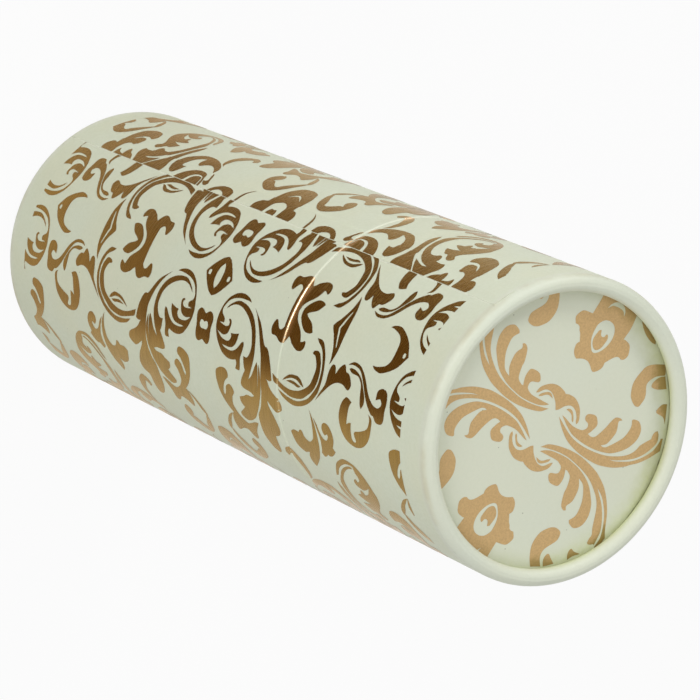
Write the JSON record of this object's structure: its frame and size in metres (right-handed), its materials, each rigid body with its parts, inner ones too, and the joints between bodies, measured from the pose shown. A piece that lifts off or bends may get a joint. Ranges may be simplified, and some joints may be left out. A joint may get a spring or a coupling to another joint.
{
  "type": "cylindrical wig box",
  "caption": "Round paper tube box with rolled rims, recessed end discs, an inner neck tube and a lift-off lid, foil-printed with a scroll damask.",
  "frame": {"origin": "centre of the foot, on the surface the box stands on", "axes": "+Z along the tube axis from the base to the lid; -Y is the side that faces the camera in the picture"},
  "size_m": [0.1, 0.1, 0.2782],
  "materials": {
    "wound_board": "grey-brown spirally wound board, matt",
    "printed_paper": "pale mint uncoated paper with a hot-stamped gold foil scroll print",
    "flat_board": "grey flat board, matt",
    "disc_paper": "pale mint uncoated paper with matt gold print",
    "neck_board": "white-faced spirally wound board, matt"
  },
  "bodies": {
    "base": {"base_tube": "wound_board", "base_wrap": "printed_paper", "base_end_disc": "flat_board", "base_disc_paper": "disc_paper", "neck_tube": "neck_board"},
    "lid": {"lid_tube": "wound_board", "lid_wrap": "printed_paper", "lid_end_disc": "flat_board", "lid_disc_paper": "disc_paper"}
  },
  "joints": [
    {"name": "lid_lift", "type": "slide", "parent": "base", "child": "lid", "axis": [0, 0, 1], "range_m": [0, 0.06]}
  ]
}
